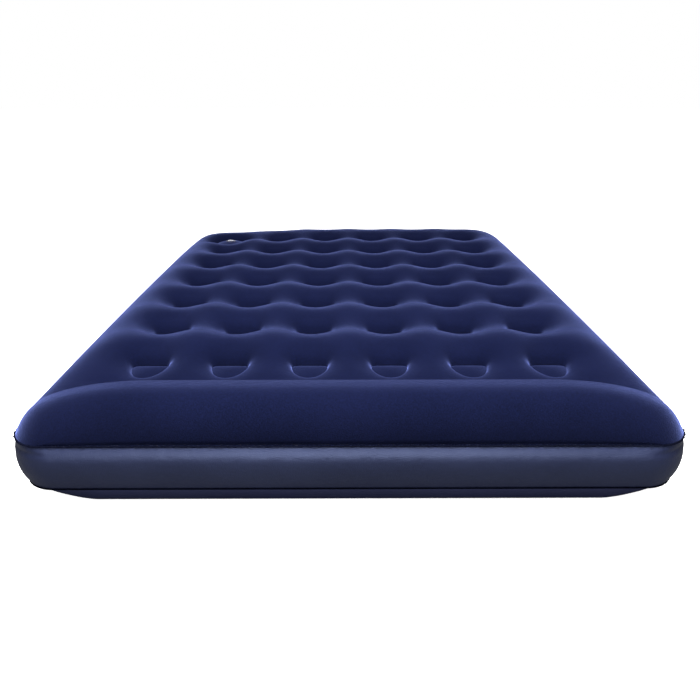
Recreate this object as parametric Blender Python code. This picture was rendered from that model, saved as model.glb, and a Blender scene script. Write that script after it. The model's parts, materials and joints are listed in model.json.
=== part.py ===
"""Double flocked air bed with an integral pillow, 41 internal coils, a built-in foot pump and a
screw-in deflation valve.

Frame: metres, +Z up. The origin is on the floor under the middle of the bed. +Y runs from the
pillow (head) end to the foot end, and +X is to the right for someone who stands at the pillow
end and looks along the bed. The pump is in the corner at -X, +Y.
"""

import math

import bmesh
import bpy
from mathutils import Matrix, Vector, geometry

# ---- driving dimensions -------------------------------------------------------------------
WIDTH = 1.37  # over the bulge of the side band
LENGTH = 1.91  # head end to the face of the closed valve
HEIGHT = 0.28  # floor to the crest of the pillow
BODY_CREST = 0.260  # height of the peaks where four dimples meet
WELD_Z = 0.192  # height of the dimples' weld discs and of the pillow's crease
BOTTOM_WELD_Z = 0.025  # height of the matching discs in the bottom sheet
GAP = 0.0004  # between pieces that touch

SIDEWAYS = (math.pi / 2, 0, 0)  # lays an upright axis along Y
VALVE_PROUD = 0.0045  # the closed valve stands this far out of the foot end
HEAD_Y = -LENGTH / 2
FOOT_Y = LENGTH / 2 - VALVE_PROUD  # the band's furthest reach at the foot end
MIDDLE_Y = (HEAD_Y + FOOT_Y) / 2
BOW = 0.011  # the long sides are this much further in at their ends

# Where the side band meets the top sheet and the bottom sheet.
TOP_SEAM_INSET, TOP_SEAM_Z, TOP_SEAM_RADIUS = 0.0115, 0.191, 0.076
LOW_SEAM_INSET, LOW_SEAM_Z, LOW_SEAM_RADIUS = 0.019, 0.0915, 0.075
BULGE_Z, BAND_RADIUS = 0.158, 0.105  # where the band reaches furthest out

# Rows of coils run across the bed. Row 1 is beside the pillow.
COLUMNS, ROWS = 6, 7
PITCH_X, PITCH_Y = 0.1945, 0.222
ROW_1_Y = HEAD_Y + 0.364
PUMP_CELL, PUMP_SHIFT = (7, 1), 0.022  # the pump sits this much nearer the side than the coils
DISC_RADIUS = 0.045  # weld disc in a dimple
DIMPLE_REACH = 0.166  # a dimple's wall has died away at this radius
BOTTOM_REACH = 0.088  # the same in the bottom sheet, which is flat on the floor beyond it

# Heights fall to the seams over these distances.
SHOULDER = 0.173  # at the sides and the foot
PILLOW_END = 0.263  # at the two ends of the pillow
PILLOW_FRONT = 0.0885  # pillow crest, from the head end
PILLOW_BACK = 0.2025  # crease behind the pillow, from the head end
CREASE_FLOOR = 0.23  # the body starts to rise here
CREASE_RISE = 0.20
CREASE_SIDE = 0.15  # the crease fades out over this distance from the sides
UNDER_EDGE = 0.130  # bottom sheet, from its seam to the flat
UNDER_CURVE = 1.5  # 2 would make the bottom sheet's edge an ellipse, and 1 a straight slope

TOP_THICKNESS, SHEET_THICKNESS, BAND_THICKNESS = 0.0015, 0.001, 0.001
COIL_RADIUS, COIL_WALL, COIL_SIDES = 0.040, 0.0008, 8
WEB_WIDTH, WEB_HOLES, WEB_HOLE_RADIUS, WEB_HOLE_Z = 1.02, 6, 0.026, 0.09
PILLOW_SPAN, PILLOW_STEPS = 0.54, 5  # half the pillow's straight stretch, and facets along it

# Foot pump, around its own upright axis.
CUP_RADIUS, CUP_WALL, CUP_BOTTOM_Z = 0.072, 0.0012, 0.075
PUMP_OPENING, PUMP_LEDGE = 0.0745, 0.088  # hole in the top sheet and the flat round it
DOME_RADIUS, DOME_WALL = 0.0705, 0.0016
DOME_TOP_Z, DOME_EDGE_Z, DOME_SKIRT_Z = WELD_Z + 0.024, WELD_Z + 0.001, WELD_Z - 0.010
DOME_FULLNESS = 0.9  # 1 makes the dome an ellipse
INLET_RADIUS = 0.0155  # hole in the dome
INLET_TOP_Z = DOME_TOP_Z + 0.0035
INLET_REACH = 0.0185  # from the inlet's axis to its cap's hinge
CAP_HEAD = 0.0018  # thickness of both caps' heads and straps
OUTLET_RADIUS, OUTLET_LOW_Z = 0.0125, CUP_BOTTOM_Z - 0.004  # hole in the cup, and its seat
PUMP_DROP = 0.019  # the foot corner by the pump is this much lower
DROP_SHIFT, DROP_SPREAD = 0.09, 0.15  # lowest point, past the pump towards the foot, and width

# Deflation valve, around an axis along +Y in the foot end of the band.
VALVE_X, VALVE_Z = -0.34, 0.150
FLANGE_RADIUS = 0.036

FLOCK, PVC, SHEET = (0.016, 0.020, 0.085), (0.032, 0.038, 0.115), (0.022, 0.026, 0.075)
INNER, GREY, CLEAR = (0.10, 0.11, 0.16), (0.035, 0.037, 0.05), (0.55, 0.57, 0.62)


# ---- surfaces -----------------------------------------------------------------------------
def arc(t):
    """Quarter of an ellipse: 0 to 1, upright at 0 and level at 1."""
    t = min(max(t, 0.0), 1.0)
    return math.sqrt(1 - (1 - t) ** 2)


def smooth(t):
    t = min(max(t, 0.0), 1.0)
    return t * t * (3 - 2 * t)


def under_arc(t):
    """Like arc, but fuller or flatter as UNDER_CURVE says."""
    t = min(max(t, 0.0), 1.0)
    return (1 - (1 - t) ** UNDER_CURVE) ** (1 / UNDER_CURVE)


def bowed(x, y):
    """x of a point of the bed, with its long sides bowed outwards."""
    along = (y - MIDDLE_Y) / ((FOOT_Y - HEAD_Y) / 2)
    return x * (1 - BOW / (WIDTH / 2) * along * along)


def cell_centre(row, column):
    y = ROW_1_Y + (row - 1) * PITCH_Y
    shift = PUMP_SHIFT if (row, column) == PUMP_CELL else 0.0
    return bowed((column - (COLUMNS + 1) / 2) * PITCH_X, y) - shift, y


CELLS = [(row, column) for row in range(1, ROWS + 1) for column in range(1, COLUMNS + 1)]
COIL_CELLS = [cell for cell in CELLS if cell != PUMP_CELL]
PUMP_X, PUMP_Y = cell_centre(*PUMP_CELL)


def outline_reach(x, y, inset, radius):
    """Distance from a point to the rounded outline: along X, and along Y to the head and foot."""
    half = WIDTH / 2 - inset
    head, foot = HEAD_Y + inset, FOOT_Y - inset
    across = abs(x) / (bowed(1.0, y))
    past_y = max(head + radius - y, y - (foot - radius), 0.0)
    past_x = max(across - (half - radius), 0.0)
    side = half - radius + math.sqrt(max(radius**2 - past_y**2, 0.0)) - across
    cut = radius - math.sqrt(max(radius**2 - past_x**2, 0.0))
    return side, y - (head + cut), (foot - cut) - y


def dimple_depth(x, y, reach, pump_flat):
    """How much of the full depth the dimples take at this point, from 0 to 1."""
    total = 0.0
    for cell in CELLS:
        centre_x, centre_y = cell_centre(*cell)
        away = math.hypot(x - centre_x, y - centre_y)
        flat = pump_flat if cell == PUMP_CELL else DISC_RADIUS
        if flat and away < reach:
            total += 1 - arc((away - flat) / (reach - flat))
    return min(total, 1.0)


def top_z(x, y):
    """Height of the flocked top: a pillow roll across the head end, then the dimpled body."""
    side, head, foot = outline_reach(x, y, TOP_SEAM_INSET, TOP_SEAM_RADIUS)
    along = y - HEAD_Y
    front = arc(head / (PILLOW_FRONT - TOP_SEAM_INSET))
    from_low_point = math.hypot(x - PUMP_X, y - PUMP_Y - DROP_SHIFT)
    crest = BODY_CREST - PUMP_DROP * math.exp(-((from_low_point / DROP_SPREAD) ** 2) / 2)
    crease = 1 - smooth((along - CREASE_FLOOR) / CREASE_RISE)
    crease *= smooth(side / CREASE_SIDE)
    body = WELD_Z + (crest - WELD_Z) * (1 - crease) * (
        1 - dimple_depth(x, y, DIMPLE_REACH, PUMP_LEDGE)
    )
    edge = arc(side / SHOULDER) * arc(foot / SHOULDER) * front
    body = TOP_SEAM_Z + (body - TOP_SEAM_Z) * edge
    past_crest = max(along - PILLOW_FRONT, 0.0) / (PILLOW_BACK - PILLOW_FRONT)
    if past_crest >= 1:
        return body
    roll = WELD_Z + (HEIGHT - WELD_Z) * arc(1 - past_crest)
    roll = TOP_SEAM_Z + (roll - TOP_SEAM_Z) * arc(side / PILLOW_END) * front
    return max(roll, body)


def bottom_z(x, y):
    """Height of the bottom sheet's underside: flat on the floor, with a disc lifted at each coil."""
    side, head, foot = outline_reach(x, y, LOW_SEAM_INSET, LOW_SEAM_RADIUS)
    edge = 1.0
    for distance in (side, head, foot):
        edge *= under_arc(distance / UNDER_EDGE)
    lift = BOTTOM_WELD_Z * dimple_depth(x, y, BOTTOM_REACH, None)
    return LOW_SEAM_Z * (1 - edge) + lift * edge


def outline(inset, radius, corner_steps=4, steps_x=8, steps_y=12):
    """Points round the bed, anticlockwise from above, the same number at every inset."""
    half_x, radius = WIDTH / 2 - inset, max(radius, 0.02)
    head, foot = HEAD_Y + inset, FOOT_Y - inset
    centres = [
        (half_x - radius, foot - radius, 0),
        (radius - half_x, foot - radius, 90),
        (radius - half_x, head + radius, 180),
        (half_x - radius, head + radius, 270),
    ]
    points = []
    for index, (cx, cy, start) in enumerate(centres):
        for step in range(corner_steps + 1):
            angle = math.radians(start + 90 * step / corner_steps)
            points.append((cx + radius * math.cos(angle), cy + radius * math.sin(angle)))
        next_x, next_y, next_start = centres[(index + 1) % 4]
        angle = math.radians(next_start)
        end = (next_x + radius * math.cos(angle), next_y + radius * math.sin(angle))
        last, steps = points[-1], (steps_x if index % 2 == 0 else steps_y)
        for step in range(1, steps):
            t = step / steps
            points.append((last[0] + (end[0] - last[0]) * t, last[1] + (end[1] - last[1]) * t))
    return [(bowed(x, y), y) for x, y in points]


def circle(cx, cy, radius, sides, turn=0.0):
    angles = [2 * math.pi * (k + turn) / sides for k in range(sides)]
    return [(cx + radius * math.cos(a), cy + radius * math.sin(a)) for a in angles]


# ---- making objects -----------------------------------------------------------------------
def clear_scene():
    for old in list(bpy.data.objects):
        bpy.data.objects.remove(old, do_unlink=True)


def material(name, colour, roughness):
    made = bpy.data.materials.get(name)
    if made is None:
        made = bpy.data.materials.new(name)
        made.use_nodes = True
        shader = made.node_tree.nodes["Principled BSDF"]
        shader.inputs["Base Color"].default_value = (*colour, 1)
        shader.inputs["Roughness"].default_value = roughness
    return made


def add_object(name, mesh, surface, location=(0, 0, 0), smooth_shading=True):
    if not mesh.materials:
        mesh.materials.append(surface)
    if smooth_shading:
        mesh.shade_smooth()
        mesh.set_sharp_from_angle(angle=math.radians(40))
    made = bpy.data.objects.new(name, mesh)
    made.location = location
    bpy.context.scene.collection.objects.link(made)
    return made


def mesh_from(name, work):
    bmesh.ops.recalc_face_normals(work, faces=work.faces)
    mesh = bpy.data.meshes.new(name)
    work.to_mesh(mesh)
    work.free()
    return mesh


def sheet_mesh(name, loops, loose, height, thickness, holes=()):
    """A closed sheet over a plan: loops are rings of points, the first of them the outline."""
    plan, edges = [], []
    for ring in loops:
        first = len(plan)
        plan += ring
        edges += [(first + k, first + (k + 1) % len(ring)) for k in range(len(ring))]
    plan += loose
    points, _, faces, *_ = geometry.delaunay_2d_cdt(
        [Vector(p) for p in plan], edges, [], 1, 1e-6
    )
    work = bmesh.new()
    levels = []
    for lift in (0.0, thickness):
        levels.append([work.verts.new((p.x, p.y, height(p.x, p.y) + lift)) for p in points])
    lower, upper = levels
    border = {}
    for face in faces:
        middle = sum((points[k] for k in face), Vector((0, 0))) / len(face)
        if any(math.hypot(middle.x - cx, middle.y - cy) < r for cx, cy, r in holes):
            continue
        work.faces.new([upper[k] for k in face])
        work.faces.new([lower[k] for k in reversed(face)])
        for a, b in zip(face, [*face[1:], face[0]]):
            if (b, a) in border:
                del border[(b, a)]
            else:
                border[(a, b)] = True
    for a, b in border:
        work.faces.new((upper[b], upper[a], lower[a], lower[b]))
    for vert in [v for v in work.verts if not v.link_faces]:
        work.verts.remove(vert)
    return mesh_from(name, work)


def lofted_ring(name, rings):
    """A closed tube-like wall through rings of the same number of points, last joined to first."""
    work = bmesh.new()
    made = [[work.verts.new(p) for p in ring] for ring in rings]
    count = len(made[0])
    for index, ring in enumerate(made):
        after = made[(index + 1) % len(made)]
        for k in range(count):
            n = (k + 1) % count
            work.faces.new((ring[k], ring[n], after[n], after[k]))
    return mesh_from(name, work)


def turned(name, profile, sides=24, closed=True):
    """A solid of revolution about Z, from a closed profile of (radius, z) points."""
    work = bmesh.new()
    rings = []
    for radius, z in profile:
        if radius < 1e-9:
            rings.append([work.verts.new((0, 0, z))] * sides)
        else:
            rings.append([work.verts.new((x, y, z)) for x, y in circle(0, 0, radius, sides)])
    pairs = list(zip(rings, rings[1:] + ([rings[0]] if closed else [])))
    for ring, after in pairs:
        for k in range(sides):
            n = (k + 1) % sides
            corners = []
            for vert in (ring[k], ring[n], after[n], after[k]):
                if vert not in corners:
                    corners.append(vert)
            if len(corners) > 2:
                work.faces.new(corners)
    return mesh_from(name, work)


def cutter(name, radius, depth, location, rotation=(0, 0, 0), sides=24):
    work = bmesh.new()
    bmesh.ops.create_cone(
        work, cap_ends=True, segments=sides, radius1=radius, radius2=radius, depth=depth
    )
    made = add_object(name, mesh_from(name, work), material("cutter", GREY, 0.5), location)
    made.rotation_euler = rotation
    made.hide_render = True
    made.display_type = "WIRE"
    return made


def cut(target, tool):
    modifier = target.modifiers.new("cut_" + tool.name, "BOOLEAN")
    modifier.operation = "DIFFERENCE"
    modifier.object = tool


def joined(target, other):
    """Adds the other object's solid to the target, and leaves the other as a hidden helper."""
    modifier = target.modifiers.new("join_" + other.name, "BOOLEAN")
    modifier.operation = "UNION"
    modifier.object = other
    other.hide_render = True
    other.display_type = "WIRE"


def box_mesh(name, size, centre=(0, 0, 0)):
    work = bmesh.new()
    bmesh.ops.create_cube(work, size=1)
    for vert in work.verts:
        vert.co = Vector(c + v * s for v, s, c in zip(vert.co, size, centre))
    return mesh_from(name, work)


# ---- the envelope -------------------------------------------------------------------------
def dimple_loops(radii, sides, cells):
    """Rings of points round each dimple."""
    loops = []
    for cell in cells:
        centre_x, centre_y = cell_centre(*cell)
        for index, radius in enumerate(radii):
            loops.append(circle(centre_x, centre_y, radius, sides, 0.5 * (index % 2)))
    return loops


def ridge_points():
    """Points where four cells meet, and halfway along the cells' sides."""
    points = []
    for row in range(1, ROWS + 1):
        for half_column in range(-COLUMNS, COLUMNS + 1):
            y = ROW_1_Y + (row - 1) * PITCH_Y
            on_line = half_column % 2 == 0
            if on_line:
                points.append((bowed(half_column * PITCH_X / 2, y), y))
            if row < ROWS:
                points.append((bowed(half_column * PITCH_X / 2, y + PITCH_Y / 2), y + PITCH_Y / 2))
    return [p for p in points if math.hypot(p[0] - PUMP_X, p[1] - PUMP_Y) > PUMP_LEDGE + 0.01]


def make_top_sheet(flock):
    rings = [outline(TOP_SEAM_INSET, TOP_SEAM_RADIUS)]
    for inset in (0.009, 0.027, 0.062, 0.112):
        rings.append(outline(TOP_SEAM_INSET + inset, TOP_SEAM_RADIUS - inset))
    rings += dimple_loops((DISC_RADIUS, 0.068), 8, COIL_CELLS)
    for radius in (PUMP_OPENING, PUMP_LEDGE, 0.102):
        rings.append(circle(PUMP_X, PUMP_Y, radius, 20))
    loose = ridge_points()
    for along in (PILLOW_FRONT, 0.128, 0.162, 0.184, PILLOW_BACK, CREASE_FLOOR, 0.255):
        for step in range(-PILLOW_STEPS, PILLOW_STEPS + 1):
            loose.append((step * PILLOW_SPAN / PILLOW_STEPS, HEAD_Y + along))
    mesh = sheet_mesh(
        "top_sheet", rings, loose,
        lambda x, y: top_z(x, y) - TOP_THICKNESS, TOP_THICKNESS,
        [(PUMP_X, PUMP_Y, PUMP_OPENING - 0.002)],
    )
    add_object("top_sheet", mesh, flock)


def make_bottom_sheet(sheet):
    rings = [outline(LOW_SEAM_INSET, LOW_SEAM_RADIUS)]
    for share in (0.03, 0.1, 0.22, 0.42, 0.68, 1.0):
        inset = UNDER_EDGE * share
        rings.append(outline(LOW_SEAM_INSET + inset, LOW_SEAM_RADIUS - inset))
    rings += dimple_loops((DISC_RADIUS, BOTTOM_REACH), 8, COIL_CELLS)
    mesh = sheet_mesh("bottom_sheet", rings, [], bottom_z, SHEET_THICKNESS)
    add_object("bottom_sheet", mesh, sheet)


def band_section():
    """(inset, z, corner radius) down the band's outer face, which bulges between its seams."""
    top_z_edge = TOP_SEAM_Z - TOP_THICKNESS - GAP
    low_z_edge = LOW_SEAM_Z + SHEET_THICKNESS + GAP
    section = [(TOP_SEAM_INSET, top_z_edge, TOP_SEAM_RADIUS)]
    for t in (0.5, 1.0):
        z = top_z_edge + (BULGE_Z - top_z_edge) * t
        section.append((TOP_SEAM_INSET * (1 - t) ** 2, z, BAND_RADIUS))
    for t in (0.35, 0.6, 0.82, 1.0):
        z = BULGE_Z + (low_z_edge - BULGE_Z) * t
        radius = BAND_RADIUS + (LOW_SEAM_RADIUS - BAND_RADIUS) * t
        section.append((LOW_SEAM_INSET * t * t, z, radius))
    return section


def make_side_band(pvc):
    rings = [[(x, y, z) for x, y in outline(inset, r)] for inset, z, r in band_section()]
    for inset, z, r in reversed(band_section()):
        rings.append([(x, y, z) for x, y in outline(inset + BAND_THICKNESS, r - BAND_THICKNESS)])
    band = add_object("side_band", lofted_ring("side_band", rings), pvc)
    hole = cutter(
        "valve_hole", FLANGE_RADIUS + 1.5 * GAP, 0.05, (VALVE_X, FOOT_Y, VALVE_Z), SIDEWAYS
    )
    cut(band, hole)


def make_pillow_wall(inner):
    """Upright web that pulls the crease down, with holes that let the air past."""
    low, high = SHEET_THICKNESS + GAP, WELD_Z - TOP_THICKNESS - GAP
    y = HEAD_Y + (PILLOW_BACK + CREASE_FLOOR) / 2
    size = (WEB_WIDTH, COIL_WALL, high - low)
    wall = add_object(
        "pillow_wall", box_mesh("pillow_wall", size), inner, (0, y, (low + high) / 2), False
    )
    for k in range(WEB_HOLES):
        x = (k - (WEB_HOLES - 1) / 2) * WEB_WIDTH / WEB_HOLES
        place = (x, y, WEB_HOLE_Z)
        depth = 20 * COIL_WALL
        hole = cutter(f"web_hole_{k + 1}", WEB_HOLE_RADIUS, depth, place, SIDEWAYS, 16)
        cut(wall, hole)


def coil_mesh():
    """An open tube between two weld discs, with an air window in two of its sides."""
    low = BOTTOM_WELD_Z + SHEET_THICKNESS + GAP
    high = WELD_Z - TOP_THICKNESS - GAP
    window_low, window_high, window_share = 0.085, 0.115, 0.7
    work = bmesh.new()
    ring = circle(0, 0, COIL_RADIUS, COIL_SIDES)
    bottom = [work.verts.new((x, y, low)) for x, y in ring]
    top = [work.verts.new((x, y, high)) for x, y in ring]
    for k in range(COIL_SIDES):
        n = (k + 1) % COIL_SIDES
        corners = [bottom[k], bottom[n], top[n], top[k]]
        if k % (COIL_SIDES // 2):
            work.faces.new(corners)
            continue
        near = (1 - window_share) / 2
        a, b = bottom[k].co.lerp(bottom[n].co, near), bottom[k].co.lerp(bottom[n].co, 1 - near)
        inner = [(a, window_low), (b, window_low), (b, window_high), (a, window_high)]
        window = [work.verts.new((p.x, p.y, z)) for p, z in inner]
        for side in range(4):
            after = (side + 1) % 4
            work.faces.new((corners[side], corners[after], window[after], window[side]))
    mesh = bpy.data.meshes.new("coil")
    work.to_mesh(mesh)
    work.free()
    return mesh


def make_coils(inner):
    mesh = coil_mesh()
    for row, column in COIL_CELLS:
        coil = add_object(
            f"coil_r{row}c{column}", mesh, inner, (*cell_centre(row, column), 0), False
        )
        wall = coil.modifiers.new("wall", "SOLIDIFY")
        wall.thickness = COIL_WALL
        wall.offset = -1


# ---- foot pump ----------------------------------------------------------------------------
def dome_line(radius_out, steps=5):
    """(radius, z) points over the pump's dome, from its hole out to radius_out."""
    points = []
    for step in range(steps + 1):
        radius = INLET_RADIUS + (radius_out - INLET_RADIUS) * step / steps
        share = arc(1 - radius / DOME_RADIUS) ** DOME_FULLNESS
        points.append((radius, DOME_EDGE_Z + (DOME_TOP_Z - WELD_Z) * share))
    return points


def make_pump(flock, inner, grey, clear, foam_colour):
    here = (PUMP_X, PUMP_Y, 0)
    rim_top = WELD_Z - TOP_THICKNESS - GAP
    floor_top = CUP_BOTTOM_Z + CUP_WALL
    rim_radius = PUMP_LEDGE - 0.001
    cup = [
        (rim_radius, rim_top), (rim_radius, rim_top - CUP_WALL),
        (CUP_RADIUS + CUP_WALL, rim_top - CUP_WALL), (CUP_RADIUS + CUP_WALL, CUP_BOTTOM_Z),
        (OUTLET_RADIUS, CUP_BOTTOM_Z), (OUTLET_RADIUS, floor_top), (CUP_RADIUS, floor_top),
        (CUP_RADIUS, rim_top),
    ]
    add_object("pump_cup", turned("pump_cup", cup), inner, here)

    inner_radius = DOME_RADIUS - DOME_WALL
    dome = [(DOME_RADIUS, DOME_SKIRT_Z)] + list(reversed(dome_line(DOME_RADIUS)))
    dome += [(r, z - DOME_WALL) for r, z in dome_line(inner_radius)]
    dome.append((inner_radius, DOME_SKIRT_Z))
    add_object("pump_dome", turned("pump_dome", dome), flock, here)

    foam_top, foam_radius = WELD_Z - 0.002, 0.062
    foam = [
        (0, floor_top + GAP), (foam_radius, floor_top + GAP), (foam_radius, foam_top),
        (0, foam_top),
    ]
    add_object("pump_foam", turned("pump_foam", foam, 24, False), foam_colour, here)

    seat_z, seat_low = INLET_TOP_Z, INLET_TOP_Z - 0.012
    seat_bore, seat_out = 0.0085, INLET_RADIUS - 0.0005
    seat = [(seat_bore, seat_low), (seat_out, seat_low), (seat_out, seat_z), (seat_bore, seat_z)]
    add_object("inlet_seat", turned("inlet_seat", seat, 24), clear, here)
    make_cap(
        "inlet_cap", clear, (PUMP_X + INLET_REACH, PUMP_Y, seat_z + GAP + CAP_HEAD),
        INLET_REACH, 0.0135, 0.0075, 0.0030,
    )

    ring_out, ring_in = OUTLET_RADIUS - GAP, OUTLET_RADIUS - 0.0029
    ring = [
        (ring_in, OUTLET_LOW_Z), (ring_out, OUTLET_LOW_Z), (ring_out, floor_top),
        (ring_in, floor_top),
    ]
    add_object("outlet_seat", turned("outlet_seat", ring, 20), grey, here)
    hinge_x, flap_z, flap_thick = OUTLET_RADIUS + 0.001, OUTLET_LOW_Z - GAP, 0.0012
    flap = [(0, -flap_thick), (OUTLET_RADIUS, -flap_thick), (OUTLET_RADIUS, 0.0), (0, 0.0)]
    mesh = turned("outlet_flap", flap, 20, False)
    for vert in mesh.vertices:
        vert.co.x -= hinge_x
    add_object("outlet_flap", mesh, grey, (PUMP_X + hinge_x, PUMP_Y, flap_z))


def make_cap(name, surface, hinge, reach, head_radius, plug_radius, plug_depth):
    """A push-in cap with its origin on its strap's hinge line, which lies along Y, and its
    axis at -reach in X. The head's top is level with the hinge."""
    plug_end = -CAP_HEAD - GAP - plug_depth
    profile = [
        (0, 0), (head_radius, 0), (head_radius, -CAP_HEAD), (plug_radius, -CAP_HEAD),
        (plug_radius, plug_end + plug_depth * 0.6), (plug_radius * 0.88, plug_end),
        (0, plug_end),
    ]
    mesh = turned(name, profile, 24, False)
    for vert in mesh.vertices:
        vert.co.x -= reach
    cap = add_object(name, mesh, surface, hinge)
    arm_length = reach - head_radius + 0.003
    arm = box_mesh(
        name + "_arm", (arm_length, 0.007, CAP_HEAD), (-arm_length / 2, 0, -CAP_HEAD / 2)
    )
    joined(cap, add_object(name + "_arm", arm, surface, hinge))
    return cap


# ---- deflation valve ----------------------------------------------------------------------
def make_valve(grey, rubber):
    face = FOOT_Y + VALVE_PROUD
    upright = (-math.pi / 2, 0, 0)  # turns local +Z to +Y

    def place(name, profile, surface, sides=24):
        made = add_object(name, turned(name, profile, sides), surface, (VALVE_X, face, VALVE_Z))
        made.rotation_euler = upright
        return made

    neck_out, neck_in, flange_top, flange_low, neck_end = 0.029, 0.0262, -0.009, -0.012, -0.045
    base = [
        (neck_in, neck_end), (neck_out, neck_end), (neck_out, flange_low),
        (FLANGE_RADIUS, flange_low), (FLANGE_RADIUS, flange_top), (neck_in, flange_top),
    ]
    place("valve_base", base, grey)
    rim_low, rim_top, rim_radius = -0.0066, -0.0026, 0.0315
    bore, bore_wall, skirt_out, skirt_in = 0.0125, 0.0016, 0.0257, 0.0238
    skirt_end, bore_end = -0.0166, -0.0186
    collar = [
        (bore, bore_end), (bore + bore_wall, bore_end), (bore + bore_wall, rim_low),
        (skirt_in, rim_low), (skirt_in, skirt_end), (skirt_out, skirt_end),
        (skirt_out, rim_low), (rim_radius, rim_low), (rim_radius, rim_top), (bore, rim_top),
    ]
    place("valve_collar", collar, grey)
    seal_radius, seal_section = 0.0285, 0.0009
    seal_z = (flange_top + rim_low) / 2
    ring = [(seal_radius + x, seal_z + z) for x, z in circle(0, 0, seal_section, 6)]
    place("valve_seal", ring, rubber)

    reach, head_radius, plug_radius = 0.0215, 0.0168, 0.0117
    hinge = (VALVE_X, face, VALVE_Z + reach)
    cap = make_cap("valve_cap", grey, hinge, reach, head_radius, plug_radius, 0.0040)
    # Local +X points up, local +Y to the right and local +Z out of the bed.
    turn = Matrix(((0, 1, 0), (0, 0, 1), (1, 0, 0))).to_euler()
    for piece in (cap, bpy.data.objects["valve_cap_arm"]):
        piece.rotation_euler = turn
    flap_radius, flap_thick = 0.0150, 0.0010
    hinge_up = 0.0160
    flap = turned(
        "valve_flap", [(0, -flap_thick), (flap_radius, -flap_thick), (flap_radius, 0), (0, 0)],
        20, False,
    )
    for vert in flap.vertices:
        vert.co.y += hinge_up
    made = add_object(
        "valve_flap", flap, rubber, (VALVE_X, face + bore_end - GAP, VALVE_Z + hinge_up)
    )
    made.rotation_euler = upright


def main():
    clear_scene()
    flock = material("flocked_pvc", FLOCK, 0.9)
    pvc = material("band_pvc", PVC, 0.38)
    sheet = material("bottom_pvc", SHEET, 0.5)
    inner = material("coil_pvc", INNER, 0.5)
    grey = material("valve_plastic", GREY, 0.4)
    clear = material("inlet_plastic", CLEAR, 0.2)
    foam = material("pump_foam", (0.5, 0.5, 0.45), 1.0)
    rubber = material("seal_rubber", (0.02, 0.02, 0.022), 0.7)
    make_top_sheet(flock)
    make_side_band(pvc)
    make_bottom_sheet(sheet)
    make_pillow_wall(inner)
    make_coils(inner)
    make_pump(flock, inner, grey, clear, foam)
    make_valve(grey, rubber)


main()
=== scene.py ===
"""Looks of the flocked double air bed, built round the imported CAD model.

Everything is in metres in the CAD's frame: the floor is z = 0, +Y runs from the pillow end to the
foot end, and the photographed view looks along +Y. Dimple, pump and valve positions come from the
frame, and the skins repeat the CAD's surface formulas at a finer step.
"""

import json
import math

import bmesh
import bpy
import numpy as np
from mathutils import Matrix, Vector, geometry


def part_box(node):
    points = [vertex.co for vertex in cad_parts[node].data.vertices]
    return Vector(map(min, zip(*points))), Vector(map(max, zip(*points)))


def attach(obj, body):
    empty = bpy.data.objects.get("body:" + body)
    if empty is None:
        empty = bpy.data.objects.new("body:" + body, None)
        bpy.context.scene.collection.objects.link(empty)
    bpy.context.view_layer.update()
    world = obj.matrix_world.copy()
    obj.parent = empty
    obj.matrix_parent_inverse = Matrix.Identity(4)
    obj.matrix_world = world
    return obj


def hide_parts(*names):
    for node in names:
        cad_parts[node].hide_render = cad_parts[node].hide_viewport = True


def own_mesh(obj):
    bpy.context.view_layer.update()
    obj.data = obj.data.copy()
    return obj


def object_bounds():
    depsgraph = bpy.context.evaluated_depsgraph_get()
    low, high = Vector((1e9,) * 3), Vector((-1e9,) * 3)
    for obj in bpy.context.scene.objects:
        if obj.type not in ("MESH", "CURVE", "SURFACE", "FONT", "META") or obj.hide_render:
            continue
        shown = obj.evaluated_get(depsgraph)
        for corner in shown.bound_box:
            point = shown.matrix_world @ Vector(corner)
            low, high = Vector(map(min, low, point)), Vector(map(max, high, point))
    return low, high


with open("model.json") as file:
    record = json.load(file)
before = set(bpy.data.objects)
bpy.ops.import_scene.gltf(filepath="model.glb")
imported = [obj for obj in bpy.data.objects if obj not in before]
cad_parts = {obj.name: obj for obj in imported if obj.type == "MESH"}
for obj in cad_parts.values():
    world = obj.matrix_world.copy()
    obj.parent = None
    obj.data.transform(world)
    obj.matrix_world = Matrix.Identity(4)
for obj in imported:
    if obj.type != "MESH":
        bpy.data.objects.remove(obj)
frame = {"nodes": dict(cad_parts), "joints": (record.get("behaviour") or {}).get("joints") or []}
cad_low, cad_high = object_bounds()

# ---- shape, as in the CAD -----------------------------------------------------------------
HALF_WIDTH = cad_high.x
HEAD_Y = cad_low.y
HEIGHT = cad_high.z
FACE_Y = cad_high.y  # face of the closed valve
VALVE_PROUD = 0.0045  # how far the closed valve stands out of the foot end
FOOT_Y = FACE_Y - VALVE_PROUD
MIDDLE_Y = (HEAD_Y + FOOT_Y) / 2
BOW = 0.011  # how far each long side draws in at its ends

# Seams: how far in from the outline, how high, and the radius of their corners.
TOP_SEAM_INSET, TOP_SEAM_Z, TOP_SEAM_RADIUS = 0.0115, 0.191, 0.076
LOW_SEAM_INSET, LOW_SEAM_Z, LOW_SEAM_RADIUS = 0.019, 0.0915, 0.075
BULGE_Z, BAND_RADIUS = 0.158, 0.105  # where the band reaches furthest out, and its corners there
# Heights of the body's crest and of the welds at a coil's two ends.
BODY_CREST, WELD_Z, BOTTOM_WELD_Z = 0.260, 0.192, 0.025
# Radius of a coil's weld, and of the dimples it makes in the top and in the bottom.
DISC_RADIUS, DIMPLE_REACH, BOTTOM_REACH = 0.045, 0.166, 0.088
# How far in the rounding of the top's sides and of the underside's edge runs, and its fullness.
SHOULDER, UNDER_EDGE, UNDER_CURVE = 0.173, 0.130, 1.5
# The pillow: how long its rounded ends are, and where it crests and ends, from the head.
PILLOW_END, PILLOW_FRONT, PILLOW_BACK = 0.263, 0.0885, 0.2025
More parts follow.
